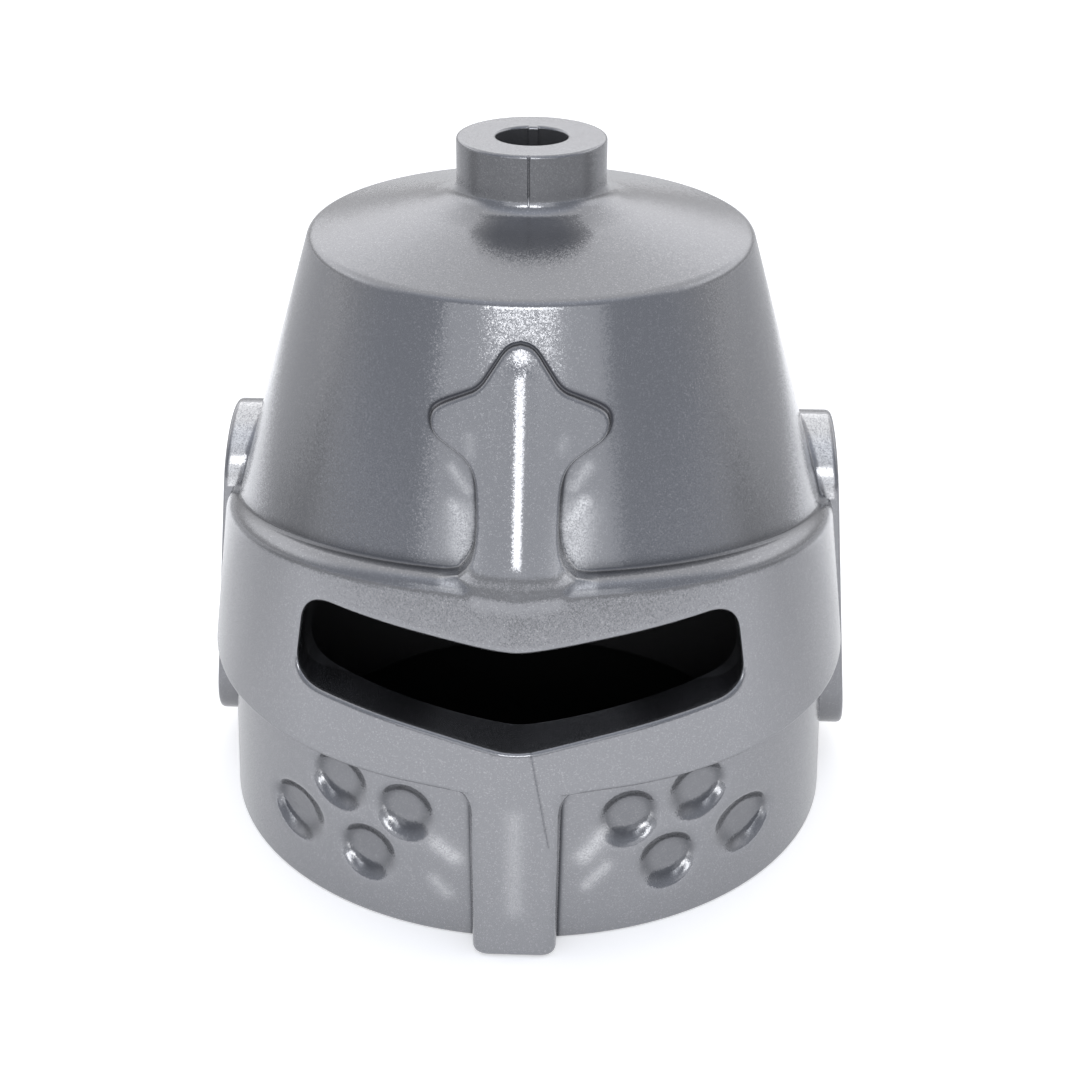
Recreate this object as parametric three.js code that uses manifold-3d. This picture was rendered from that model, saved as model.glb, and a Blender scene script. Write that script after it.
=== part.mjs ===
// Toy-figure knight helmet: a closed great helm with a visor band, an eye slit, breath dimples and a plume socket.
// Millimetres, +Z up. The helmet faces -Y, and its rim stands on z = 0 with the helmet's axis on x = y = 0.
// The helmet is one plastic moulding. Each mesh here is one of its features, split from its neighbours at the
// steps and creases that the helmet shows, with a hairline gap between them.
import * as THREE from "three";
import { ConvexGeometry } from "three/addons/geometries/ConvexGeometry.js";
import { mergeVertices, toCreasedNormals } from "three/addons/utils/BufferGeometryUtils.js";
import Module from "manifold-3d";

const wasm = await Module();
wasm.setup();

const GAP = 0.03; // hairline between neighbouring features
const SEGMENTS = 96; // round features, per turn
const FAR = 20; // past the helmet on every side

// Plastic: blue-grey with a pearl sheen.
const PLASTIC_COLOUR = 0x868a92;
const PLASTIC_ROUGHNESS = 0.36;
const PLASTIC_METALNESS = 0.3;

// Crown: a cone from the cap's rim down to the brow plane, which rises towards the face.
const CAP_RIM_Z = 12.3;
const CAP_RIM_R = 4.34;
const CROWN_SPREAD = 0.2975; // radius gained per millimetre going down
const BROW_Z = 6.75; // height of the brow plane on the helmet's axis
const BROW_TILT = THREE.MathUtils.degToRad(9.5);

// Lower shell, and the head cavity inside it.
const RIM_R = 6.4;
const CHEEK_R = 6.27;
const CAVITY_R = 5.15;
const CAVITY_TAPER_Z = 7.2; // above this the cavity closes in with the crown
const CEILING_Z = 11.45;
const CEILING_R = 3.45;
const CROWN_STEP_Z = 8.2; // from here up the crown's wall keeps almost one thickness
const CROWN_WALL = 0.72; // its thickness there, measured level
const CEILING_WALL = 0.75; // and just under the ceiling
const CEILING_ROUND = 0.3;

// Visor band: flares downwards, with a shallow prow in front and a sloping ledge on top.
const VISOR_FOOT_Z = 3.52;
const VISOR_FOOT_R = 6.66;
const VISOR_SPREAD = 0.13;
const VISOR_END_Y = -0.13; // the band stops at the ear plates' front edges
const PROW_FOLD = 0.3; // bearing of the prow's edges, in radians: its flat facets meet the round band there
const LEDGE_R = 5.75;
const LEDGE_FALL = 0.22;

// Eye slit: cut square to the band's sloping face.
const SLIT_TILT = THREE.MathUtils.degToRad(12);
const SLIT_CORNER_R = 0.38;
const SLIT_FACE_Y = -6.5; // where its heights are measured
const SLIT_HALF = [
  [0, 4.3],
  [4.28, 5.12],
  [4.02, 6.9],
  [0, 6.2],
];

// Brow star: a cone folded into a prow, which spreads until it is flush with the visor band, and its middle rib.
const STAR_TIP_Z = 11.62;
const STAR_TIP_R = 4.587;
const STAR_SPREAD = 0.404;
const STAR_FOLD = 0.2; // bearing of the prow's edges at the tip, in radians
const STAR_FOLD_GAIN = 0.027; // and how much wider it gets per millimetre going down
const STAR_HALF = [
  [0, 11.62],
  [0.24, 11.56],
  [0.5, 11.16],
  [0.72, 10.83],
  [1.05, 10.69],
  [1.42, 10.53],
  [1.59, 10.38],
  [1.6, 10.16],
  [1.5, 9.99],
  [1.25, 9.85],
  [0.96, 9.68],
  [0.8, 9.46],
  [0.75, 9.15],
  [0.73, 8.4],
  [0.82, 8.0],
  [1.06, 7.72],
  [1.06, 7.2],
  [0, 7.2],
];
const RIB_HALF_W = 0.16;
const RIB_RISE = 0.05;
const RIB_TOP_Z = 11.38;

// Chin keel: runs from the prow down to the base plane. Its flat front leans back and planes the prow's ridge off.
const KEEL_FRONT_Y = -7;
const KEEL_LEAN = 0.057;
const KEEL_BACK_Y = -5;
const KEEL_HALF_W = 0.8;
const KEEL_TOP_HALF_W = 0.86;
const KEEL_CORNER = 0.22;
const KEEL_FOOT_CHAMFER = 0.15;
const KEEL_WEB = 0.4; // rounded corners between the keel's sides and the visor band

// Breath dimples: blind round recesses. x and z of the centres on the +X cheek; the other cheek mirrors them.
const BREATH_R = 0.49;
const BREATH_DEPTH = 0.22;
const BREATH_CENTRES = [
  [2.13, 2.56],
  [3.46, 2.78],
  [4.41, 1.55],
  [2.91, 1.4],
];

// Ear plates: upright stadium-shaped plates at the band's ends, their outer faces splayed with the helmet.
const EAR_FRONT_Y = -0.1;
const EAR_REAR_Y = 2.5;
const EAR_FOOT_Z = 0.6;
const EAR_TOP_Z = 7.95;
const EAR_FOOT_X = 6.98;
const EAR_TOP_X = 6.3;
const EAR_CHAMFER = 0.2;
const EAR_STEPS = 48;
const EAR_JOINT_Y = 1; // face shell and neck guard meet behind the ear plates

// Cap and plume socket.
const CAP_SINK = 0.02; // the cap's underside starts this far below its rim
const CROWN_SINK = 0.05; // and the crown's wall stops this far below it
const CAP_EDGE = 0.03;
const COLLAR_R = 1.95;
const COLLAR_Z = 12.84;
const COLLAR_ROUND_W = 0.22;
const COLLAR_ROUND_RISE = 0.12;
const COLLAR_NECK = 0.05;
const SOCKET_FOOT_Z = 13.12;
const SOCKET_TOP_Z = 14.1;
const SOCKET_R = 1.45;
const SOCKET_BEVEL = 0.06;
const HOLE_BEVEL = 0.05;
const PLUME_HOLE_R = 0.69;
const PLUME_HOLE_FLOOR_Z = 12;

// Ring inside the crown that grips the stud on a toy figure's head.
const STUD_R = 2.42;
const STUD_RING_R = 3.1;
const STUD_RING_Z = 9.2;

const crownR = (z) => CAP_RIM_R + CROWN_SPREAD * (CAP_RIM_Z - z);
const visorR = (z) => VISOR_FOOT_R - VISOR_SPREAD * (z - VISOR_FOOT_Z);
const starR = (z) => STAR_TIP_R + STAR_SPREAD * (STAR_TIP_Z - z);
const starFold = (z) => STAR_FOLD + STAR_FOLD_GAIN * (STAR_TIP_Z - z);

// A three.js geometry as a solid that can be joined and cut.
function solid(geometry) {
  geometry.deleteAttribute("normal");
  geometry.deleteAttribute("uv");
  const merged = mergeVertices(geometry);
  const corners = merged.index.array;
  const faces = [];
  for (let i = 0; i < corners.length; i += 3) {
    const [a, b, c] = corners.slice(i, i + 3);
    if (a !== b && b !== c && c !== a) faces.push(a, b, c);
  }
  return new wasm.Manifold(
    new wasm.Mesh({
      numProp: 3,
      vertProperties: merged.attributes.position.array,
      triVerts: new Uint32Array(faces),
    }),
  );
}

// A solid as a geometry again.
function geometryOf(made) {
  const { vertProperties, triVerts } = made.getMesh();
  const geometry = new THREE.BufferGeometry();
  geometry.setAttribute("position", new THREE.BufferAttribute(new Float32Array(vertProperties), 3));
  geometry.setIndex(new THREE.BufferAttribute(new Uint32Array(triVerts), 1));
  return toCreasedNormals(geometry, Math.PI / 5);
}

// Closed profile of [radius, height] points, turned once round +Z.
function turned(profile, segments = SEGMENTS) {
  const points = [...profile, profile[0]].map(([r, z]) => new THREE.Vector2(r, z));
  return new THREE.LatheGeometry(points, segments).rotateX(Math.PI / 2);
}

// Block between two corners.
function block([x0, y0, z0], [x1, y1, z1]) {
  return new THREE.BoxGeometry(x1 - x0, y1 - y0, z1 - z0).translate((x0 + x1) / 2, (y0 + y1) / 2, (z0 + z1) / 2);
}

// Shape in x and z, extruded from the plane y = 0 forwards past the face.
function forwards(shape) {
  return new THREE.ExtrudeGeometry(shape, { depth: FAR, bevelEnabled: false, curveSegments: 8 }).rotateX(Math.PI / 2);
}

// The whole outline from its half on the +X side of x = 0.
function mirrored(half) {
  const back = half
    .filter(([x]) => x !== 0)
    .map(([x, z]) => [-x, z])
    .reverse();
  return [...half, ...back].map(([x, z]) => new THREE.Vector2(x, z));
}

// Shape whose corners are rounded by curves that start this far before each corner.
function roundedShape(corners, cutback) {
  const shape = new THREE.Shape();
  corners.forEach((corner, i) => {
    const before = corners[(i + corners.length - 1) % corners.length];
    const after = corners[(i + 1) % corners.length];
    const from = corner.clone().add(before.clone().sub(corner).setLength(cutback));
    const to = corner.clone().add(after.clone().sub(corner).setLength(cutback));
    if (i === 0) shape.moveTo(from.x, from.y);
    else shape.lineTo(from.x, from.y);
    shape.quadraticCurveTo(corner.x, corner.y, to.x, to.y);
  });
  shape.closePath();
  return shape;
}

// Everything above the brow plane, raised by lift.
function aboveBrow(lift) {
  return solid(
    block([-FAR, -FAR, 0], [FAR, FAR, FAR])
      .rotateX(-BROW_TILT)
      .translate(0, 0, BROW_Z + lift),
  );
}

// Outer surface of the helmet without its visor band, grown outwards.
function shellBody(grow) {
  const shoulderZ = CAP_RIM_Z - (CHEEK_R - CAP_RIM_R) / CROWN_SPREAD;
  return solid(
    turned([
      [0, -1],
      [RIM_R + grow, -1],
      [RIM_R + grow, 0],
      [CHEEK_R + grow, VISOR_FOOT_Z],
      [CHEEK_R + grow, shoulderZ],
      [CAP_RIM_R + grow, CAP_RIM_Z],
      [0, CAP_RIM_Z],
    ]),
  );
}

// Space for the figure's head: straight at the cheeks, closing in with the crown above them.
function headCavity() {
  return solid(
    turned([
      [0, -2],
      [CAVITY_R, -2],
      [CAVITY_R, CAVITY_TAPER_Z],
      [crownR(CROWN_STEP_Z) - CROWN_WALL, CROWN_STEP_Z],
      [crownR(CEILING_Z - CEILING_ROUND) - CEILING_WALL, CEILING_Z - CEILING_ROUND],
      [CEILING_R, CEILING_Z],
      [CEILING_R, CAP_RIM_Z + 1],
      [0, CAP_RIM_Z + 1],
    ]),
  );
}

const before = (y, z0, z1) => solid(block([-FAR, -FAR, z0], [FAR, y, z1]));
const behind = (y, z0, z1) => solid(block([-FAR, y, z0], [FAR, FAR, z1]));

function crownShell() {
  return shellBody(0)
    .intersect(aboveBrow(0))
    .subtract(behind(-FAR, CAP_RIM_Z - CROWN_SINK, FAR))
    .subtract(headCavity());
}

function crownCap() {
  return turned([
    [0, CEILING_Z + GAP],
    [CEILING_R - GAP, CEILING_Z + GAP],
    [CEILING_R - GAP, CAP_RIM_Z - CAP_SINK],
    [CAP_RIM_R, CAP_RIM_Z - CAP_SINK],
    [CAP_RIM_R - CAP_EDGE, CAP_RIM_Z + CAP_EDGE],
    [COLLAR_R, COLLAR_Z],
    [SOCKET_R + COLLAR_ROUND_W, COLLAR_Z + COLLAR_ROUND_RISE],
    [SOCKET_R + COLLAR_NECK, SOCKET_FOOT_Z - GAP],
    [PLUME_HOLE_R, SOCKET_FOOT_Z - GAP],
    [PLUME_HOLE_R, PLUME_HOLE_FLOOR_Z],
    [0, PLUME_HOLE_FLOOR_Z],
  ]);
}

// Tube standing on its own foot plane.
function plumeSocket() {
  const height = SOCKET_TOP_Z - SOCKET_FOOT_Z;
  return turned([
    [PLUME_HOLE_R, 0],
    [SOCKET_R, 0],
    [SOCKET_R, height - SOCKET_BEVEL],
    [SOCKET_R - SOCKET_BEVEL, height],
    [PLUME_HOLE_R + HOLE_BEVEL, height],
    [PLUME_HOLE_R, height - HOLE_BEVEL],
  ]);
}

// Tube hanging from the ceiling of the crown, standing on its own foot plane.
function studGripRing() {
  const height = CEILING_Z - STUD_RING_Z;
  return turned([
    [STUD_R, 0],
    [STUD_RING_R, 0],
    [STUD_RING_R, height],
    [STUD_R, height],
  ]);
}

// Round body whose front is folded into a shallow prow, with a radius and a fold at each of two heights.
function folded(levels) {
  const round = turned([[0, levels[0].z], ...levels.map(({ r, z }) => [r, z]), [0, levels[1].z]]);
  const corners = levels.flatMap(({ r, fold, z }) => [
    new THREE.Vector3(0, -r / Math.cos(fold), z),
    new THREE.Vector3(r * Math.sin(fold), -r * Math.cos(fold), z),
    new THREE.Vector3(-r * Math.sin(fold), -r * Math.cos(fold), z),
    new THREE.Vector3(0, -r / 2, z),
  ]);
  return solid(round).add(solid(new ConvexGeometry(corners)));
}

// The visor's face, carried on down over the keel and up over the star's foot, grown outwards.
function visorFace(grow) {
  const levels = [-1, 13].map((z) => ({ r: visorR(z) + grow, fold: PROW_FOLD, z }));
  const keelFront = block([-FAR, KEEL_FRONT_Y - grow, -1], [FAR, 0, FAR])
    .translate(0, -KEEL_FRONT_Y, 0)
    .rotateX(-Math.atan(KEEL_LEAN))
    .translate(0, KEEL_FRONT_Y, 0);
  return folded(levels).intersect(solid(keelFront));
}

function eyeSlit() {
  return solid(
    forwards(roundedShape(mirrored(SLIT_HALF), SLIT_CORNER_R))
      .translate(0, -SLIT_FACE_Y, 0)
      .rotateX(-SLIT_TILT)
      .translate(0, SLIT_FACE_Y, 0),
  );
}

// Cone whose slope cuts the band's top ledge, tilted with the brow plane.
function ledgeCutter() {
  return solid(
    turned([
      [0, 0],
      [LEDGE_R, 0],
      [LEDGE_R + 4, -4 * LEDGE_FALL],
      [LEDGE_R + 4, 6],
      [0, 6],
    ])
      .rotateX(-BROW_TILT)
      .translate(0, 0, BROW_Z - GAP),
  );
}

function visorBand() {
  return visorFace(0)
    .subtract(ledgeCutter())
    .subtract(headCavity())
    .intersect(before(VISOR_END_Y, VISOR_FOOT_Z, CAP_RIM_Z))
    .subtract(eyeSlit());
}

// Part of the brow relief in front of the crown, out to rise above the star's surface.
function relief(outline, rise) {
  const envelope = folded([7, 12].map((z) => ({ r: starR(z) + rise, fold: starFold(z), z })));
  return solid(outline)
    .intersect(envelope)
    .intersect(visorFace(rise))
    .subtract(shellBody(GAP))
    .intersect(aboveBrow(0));
}

function browStar() {
  const w = RIB_HALF_W + GAP;
  const groove = solid(block([-w, -FAR, 6], [w, 0, RIB_TOP_Z + GAP]));
  return relief(forwards(new THREE.Shape(mirrored(STAR_HALF))), 0).subtract(groove);
}

function browRib() {
  return relief(block([-RIB_HALF_W, -FAR, 6], [RIB_HALF_W, 0, RIB_TOP_Z]), RIB_RISE);
}

// Cheek on the +X side, from the middle plane back to the neck guard.
function cheek() {
  const bores = BREATH_CENTRES.map(([x, z]) =>
    solid(new THREE.CylinderGeometry(BREATH_R, BREATH_R, FAR, 40).translate(x, -FAR / 2, z)),
  );
  const dimples = wasm.Manifold.union(bores).subtract(shellBody(-BREATH_DEPTH));
  return shellBody(0)
    .subtract(headCavity())
    .intersect(solid(block([GAP / 2, -FAR, 0], [FAR, EAR_JOINT_Y - GAP, VISOR_FOOT_Z - GAP])))
    .subtract(dimples);
}

function neckGuard() {
  const rear = behind(EAR_JOINT_Y, 0, FAR).add(behind(VISOR_END_Y + GAP, VISOR_FOOT_Z, FAR));
  return shellBody(0).subtract(headCavity()).subtract(aboveBrow(-GAP)).intersect(rear);
}

// Rounded corners that the keel's sides turn out in, just under the band.
function keelWeb(topZ) {
  const w = KEEL_TOP_HALF_W;
  const shape = new THREE.Shape();
  shape.moveTo(-w - KEEL_WEB, topZ);
  shape.lineTo(w + KEEL_WEB, topZ);
  shape.quadraticCurveTo(w, topZ, w, topZ - KEEL_WEB);
  shape.lineTo(-w, topZ - KEEL_WEB);
  shape.quadraticCurveTo(-w, topZ, -w - KEEL_WEB, topZ);
  return solid(forwards(shape));
}

function chinKeel() {
  const section = (halfW, frontY, z) => [
    new THREE.Vector3(-halfW, frontY + KEEL_CORNER, z),
    new THREE.Vector3(-halfW + KEEL_CORNER, frontY, z),
    new THREE.Vector3(halfW - KEEL_CORNER, frontY, z),
    new THREE.Vector3(halfW, frontY + KEEL_CORNER, z),
    new THREE.Vector3(halfW, KEEL_BACK_Y, z),
    new THREE.Vector3(-halfW, KEEL_BACK_Y, z),
  ];
  const topZ = VISOR_FOOT_Z - GAP;
  const corners = [
    ...section(KEEL_HALF_W - KEEL_FOOT_CHAMFER, KEEL_FRONT_Y + KEEL_FOOT_CHAMFER, 0),
    ...section(KEEL_HALF_W, KEEL_FRONT_Y, KEEL_FOOT_CHAMFER),
    ...section(KEEL_TOP_HALF_W, KEEL_FRONT_Y, topZ),
  ];
  const keel = solid(new ConvexGeometry(corners)).add(keelWeb(topZ));
  return keel.intersect(visorFace(0)).subtract(shellBody(GAP));
}

// Ear plate on the +X side.
function earPlate() {
  const splay = (EAR_FOOT_X - EAR_TOP_X) / (EAR_TOP_Z - EAR_FOOT_Z);
  const r = (EAR_REAR_Y - EAR_FRONT_Y) / 2;
  const midY = (EAR_REAR_Y + EAR_FRONT_Y) / 2;
  const rim = (inset, sink) =>
    [...Array(EAR_STEPS).keys()].map((step) => {
      const angle = (step / EAR_STEPS) * 2 * Math.PI;
      const endZ = Math.sin(angle) >= 0 ? EAR_TOP_Z - r : EAR_FOOT_Z + r;
      const z = endZ + (r - inset) * Math.sin(angle);
      const outerX = EAR_FOOT_X - splay * (z - EAR_FOOT_Z);
      return new THREE.Vector3(outerX - sink, midY + (r - inset) * Math.cos(angle), z);
    });
  const root = rim(0, 0).map(({ y, z }) => new THREE.Vector3(CAVITY_R, y, z));
  const plate = new ConvexGeometry([...root, ...rim(0, EAR_CHAMFER), ...rim(EAR_CHAMFER, 0)]);
  return solid(plate).subtract(shellBody(GAP));
}

// Named mesh of the helmet's plastic, from a geometry or a solid.
function part(name, shape) {
  const geometry = shape.isBufferGeometry ? shape : geometryOf(shape);
  const material = new THREE.MeshStandardMaterial({
    color: PLASTIC_COLOUR,
    roughness: PLASTIC_ROUGHNESS,
    metalness: PLASTIC_METALNESS,
  });
  const made = new THREE.Mesh(geometry, material);
  made.name = name;
  return made;
}

function raised(made, z) {
  made.position.z = z;
  return made;
}

// Cheek and ear plate of one side; mirrored for the -X side.
function flank(side, mirror) {
  const group = new THREE.Group();
  group.scale.x = mirror ? -1 : 1;
  group.add(part(`cheek_${side}`, cheek()), part(`ear_plate_${side}`, earPlate()));
  return group;
}

function crown() {
  return new THREE.Group().add(
    part("crown_shell", crownShell()),
    part("crown_cap", crownCap()),
    raised(part("plume_socket", plumeSocket()), SOCKET_FOOT_Z),
    raised(part("stud_grip_ring", studGripRing()), STUD_RING_Z),
  );
}

function visor() {
  return new THREE.Group().add(
    part("visor_band", visorBand()),
    part("brow_star", browStar()),
    part("brow_rib", browRib()),
  );
}

function lowerShell() {
  return new THREE.Group().add(
    part("chin_keel", chinKeel()),
    part("neck_guard", neckGuard()),
  );
}

const helmet = new THREE.Group();
helmet.add(crown(), visor(), lowerShell(), flank("right", false), flank("left", true));

export default helmet;
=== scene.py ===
"""Looks of the toy-figure knight helmet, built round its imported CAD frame.

The helmet is one plastic moulding, so its whole surface is written as one smooth field (negative inside),
meshed, refined where it bends, and then cut along the CAD nodes' own borders into one piece per node.
Neighbours share their border vertices and normals, so no seam shows. Lengths are in millimetres until a
mesh goes into Blender; the camera, the lights and the floor are in metres. Constants named ROUND or FILLET
are the widths over which two surfaces blend.
"""
import math

import bpy
import numpy as np
from mathutils import Matrix, Vector


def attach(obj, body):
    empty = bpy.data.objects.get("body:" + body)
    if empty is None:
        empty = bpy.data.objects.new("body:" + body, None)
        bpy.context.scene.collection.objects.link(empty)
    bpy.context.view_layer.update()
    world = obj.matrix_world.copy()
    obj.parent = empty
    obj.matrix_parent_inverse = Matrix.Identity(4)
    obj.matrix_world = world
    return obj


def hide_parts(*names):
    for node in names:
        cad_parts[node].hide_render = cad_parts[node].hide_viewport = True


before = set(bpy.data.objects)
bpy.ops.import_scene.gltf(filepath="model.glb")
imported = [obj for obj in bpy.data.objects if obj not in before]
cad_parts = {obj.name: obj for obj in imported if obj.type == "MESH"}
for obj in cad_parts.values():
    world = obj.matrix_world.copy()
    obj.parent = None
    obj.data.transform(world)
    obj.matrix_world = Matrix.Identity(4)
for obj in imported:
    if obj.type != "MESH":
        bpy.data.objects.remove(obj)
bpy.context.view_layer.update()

MM = 0.001

# Crown, cap and plume socket
CAP_RIM_Z = 12.3
CAP_RIM_R = 4.34
CAP_SLOPE = 0.226
CAP_ROUND = 0.1
CROWN_SPREAD = 0.2975
SHOULDER_ROUND = 0.3
SOCKET_R = 1.45
SOCKET_TOP_Z = 14.1
SOCKET_FOOT_Z = 13.12
SOCKET_FILLET = 0.2
SOCKET_ROUND = 0.07
COLLAR_R = 1.95
COLLAR_SLOPE = 0.42
COLLAR_SKIRT = 0.2
COLLAR_FILLET = 0.04
PLUME_HOLE_R = 0.69
PLUME_HOLE_FLOOR_Z = 12.0
PLUME_HOLE_ROUND = 0.06
PLUME_KEY_HALF_W = 0.1
PLUME_KEY_Y = 0.62
PLUME_KEY_ROUND = 0.03
PARTING_DEPTH = 0.032
PARTING_W = 0.02
PARTING_FADE = 0.2

# Lower shell and head cavity
RIM_R = 6.4
RIM_ROUND = 0.1
CHEEK_R = 6.27
CAVITY_R = 5.15
CAVITY_TAPER = 0.3085
CAVITY_TAPER_Z = 7.2
CAVITY_ROUND = 0.4
CAVITY_EDGE_ROUND = 0.12
CEILING_Z = 11.45
CEILING_R = 3.47
CEILING_ROUND = 0.3
STUD_RING_R = 2.76
STUD_RING_HALF = 0.34
STUD_RING_Z = 9.2
STUD_RING_TOP_Z = 12
STUD_RING_FILLET = 0.1

# Visor band: prow angle is where its flat facets leave the round band
BROW_Z = 6.75
BROW_TILT = math.radians(9.5)
VISOR_FOOT_Z = 3.52
VISOR_FOOT_R = 6.66
VISOR_SPREAD = 0.13
VISOR_END_Y = -0.13
PROW_ANGLE = 0.3
PROW_SOFT = 0.03
VISOR_FRONT_ROUND = 0.03
VISOR_FOOT_ROUND = 0.1
VISOR_END_ROUND = 0.05
VISOR_FILLET = 0.06
LEDGE_R = 5.75
LEDGE_FALL = 0.22
LEDGE_ROUND = 0.3

# Eye slit, in a frame tilted with the band's face. Foot and top: height in the middle, slope sideways, and
# the width and height of the rounding in the middle. End: x, the height that it is measured at, lean
SLIT_TILT = math.radians(12)
SLIT_FACE_Y = -6.5
SLIT_BACK_Y = -1
SLIT_FOOT = (4.3, 0.1916, 0.25, 0.03)
SLIT_TOP = (6.2, 0.1741, 0.8, 0.3)
SLIT_END = (4.28, 5.12, 0.146)
SLIT_CORNER = 0.6
SLIT_ROUND = 0.12

# Brow star and the rib down its middle. The outline is x and z of its +X half, and its last three corners
# stay sharp. Sunk: how far it sinks below the band's face, from where, and over what width
STAR_TIP_Z = 11.62
STAR_TIP_R = 4.587
STAR_SPREAD = 0.404
STAR_FOLD = 0.2
STAR_FOLD_GAIN = 0.027
STAR_FILLET = 0.06
STAR_ROUND = 0.06
STAR_FOOT_ROUND = 0.05
STAR_SUNK_SIDE = (0.12, 0.7, 0.5)
STAR_SUNK_FOOT = (0.07, 7.5, 0.5)
STAR_SHARP = 3
RIB_RISE = 0.015
RIB_HALF_W = 0.2
RIB_TOP_Z = 11.38
RIB_FADE = 0.3
STAR_HALF = [
    (0, 11.62), (0.24, 11.56), (0.5, 11.16), (0.72, 10.83), (1.05, 10.69), (1.42, 10.53), (1.59, 10.38),
    (1.6, 10.16), (1.5, 9.99), (1.25, 9.85), (0.96, 9.68), (0.8, 9.46), (0.75, 9.15), (0.73, 8.4),
    (0.82, 8.0), (1.06, 7.72), (1.5, 7.55), (1.5, 6.9), (0, 6.9),
]

# Chin keel
KEEL_HALF_W = 0.8
KEEL_TAPER = 0.017
KEEL_FRONT = 7.0
KEEL_LEAN = 0.057
KEEL_CORNER = 0.5
KEEL_ROUND = 0.28
KEEL_FOOT_ROUND = 0.2
KEEL_REACH_Z = 0.3
KEEL_REACH_X = 1.8
KEEL_BACK_Y = -5

# Breath dimples on the +X cheek: x and z of the centres
BREATH_R = 0.49
BREATH_DEPTH = 0.22
BREATH_FLOOR_ROUND = 0.32
BREATH_RIM_ROUND = 0.26
BREATH_Z = (0.3, 3.7)
BREATH_BACK_Y = -3
BREATH_INSIDE_R = 5.6
BREATH_CENTRES = [(2.13, 2.56), (3.46, 2.78), (4.41, 1.55), (2.91, 1.4)]

# Ear plates
EAR_Y = 1.2
EAR_HALF_W = 1.3
EAR_MID_Z = 4.275
EAR_HALF_SPAN = 2.375
EAR_FOOT_X = 6.98
EAR_FOOT_Z = 0.6
EAR_SPLAY = 0.0925
EAR_JOINT_Y = 1.0
EAR_ROUND = 0.14
EAR_FILLET = 0.05

# Boxes that hold the shapes joined to the shell: distance from the middle plane, y, z
VISOR_BOX = ((0, 9), (-9, 0.6), (-1, 9))
STAR_BOX = ((0, 2.4), (-9, -3.5), (6.8, 12.2))
EAR_BOX = ((4.5, 9), (-0.8, 3.2), (-0.2, 8.8))

# Light marks painted on the front, partly the pearl plastic's flow marks and partly painted highlights: x and
# z of both ends, half width, strength
STREAKS = [
    (1.16, 8.84, 0.9, 8.48, 0.15, 0.7), (-1.17, 8.77, -0.96, 8.44, 0.13, 0.45),
    (1.06, 8.62, 1.02, 8.0, 0.3, 0.5), (-1.04, 8.6, -1.02, 8.05, 0.26, 0.42),
    (-1.2, 9.42, -0.92, 9.05, 0.1, 0.26), (1.23, 9.48, 0.98, 9.14, 0.11, 0.3),
    (-0.88, 10.06, -0.86, 9.8, 0.09, 0.14), (0.8, 10.05, 0.75, 9.9, 0.09, 0.12),
    (-1.5, 2.0, -1.18, 1.77, 0.17, 0.36), (1.64, 2.25, 1.3, 1.85, 0.18, 0.36),
    (1.72, 1.56, 1.36, 1.18, 0.13, 0.26), (-1.57, 1.17, -1.33, 0.93, 0.14, 0.2),
    (-1.33, 7.55, -1.08, 7.56, 0.09, 0.42), (1.08, 7.56, 1.36, 7.55, 0.09, 0.42),
    (0.0, 3.1, 0.0, 1.1, 0.17, 0.15),
]
# A painted highlight on the rim of each dimple: x and z of both ends from its centre, half width, strength
BREATH_SPOT = (0.18, -0.42, 0.4, -0.12, 0.06, 0.45)
# Painted highlight along the upper front rims of the ear plates: half width, strength
EAR_RIM_LIGHT = (0.09, 0.75)

# Painted shade: dark lines in the creases, and shade round and inside the dimples and on the slit's sill:
# half width, strength
STAR_CREASE = (0.042, 0.78)
LEDGE_CREASE = (0.13, 0.55)
KEEL_CREASE = (0.06, 1)
EAR_CREASE = (0.06, 0.8)
BREATH_CREASE = (0.1, 0.45)
BREATH_SHADE = 0.25
SILL_CREASE = (0.06, 0.6)
FOOT_CREASE = (0.035, 0.5)
FOLD_CREASE = (0.015, 0.5)
# The fold beside the keel: x and z of its ends
FOLD_LINE = (0.29, 4.5, 0.64, 2.5)

# Borders between the pieces, where they aren't the shapes' own
BORDER_GAP = 0.03
RIB_SHARE_HALF_W = 0.18
RING_SHARE_R = 3.3
RING_SHARE_Z = 9

# Mesh: grid step, grid cells to a block, longest edges on marks, key and parting line, where refining stops
GRID = 0.09
BLOCK = 8
MARK_EDGE = 0.035
KEY_EDGE = 0.03
PARTING_EDGE = 0.014
MARKED_FROM = 0.15
BEND = math.radians(9)
SHORTEST_EDGE = 0.025
REFINE_ROUNDS = 3
MESH_LOW = (-7.3, -7.5, -0.3)
MESH_HIGH = (7.3, 6.8, 14.4)


def smin(a, b, k):
    """The lower of two distances, with a fillet k wide where they cross."""
    h = np.maximum(k - np.abs(a - b), 0) / k
    return np.minimum(a, b) - h * h * k * 0.25


def smax(a, b, k):
    return -smin(-a, -b, k)


def most(*distances):
    out = distances[0]
    for d in distances[1:]:
        out = np.maximum(out, d)
    return out


def smooth_outline(points, rounds):
    """Corner-cut copy of an open outline; its two ends stay."""
    points = np.array(points, float)
    for _ in range(rounds):
        a, b = points[:-1], points[1:]
        cut = np.stack([0.75 * a + 0.25 * b, 0.25 * a + 0.75 * b], axis=1).reshape(-1, 2)
        points = np.vstack([points[:1], cut[1:-1], points[-1:]])
    return points


STAR_OUTLINE = np.vstack([smooth_outline(STAR_HALF[:-STAR_SHARP], 2), STAR_HALF[-STAR_SHARP:]])


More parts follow.
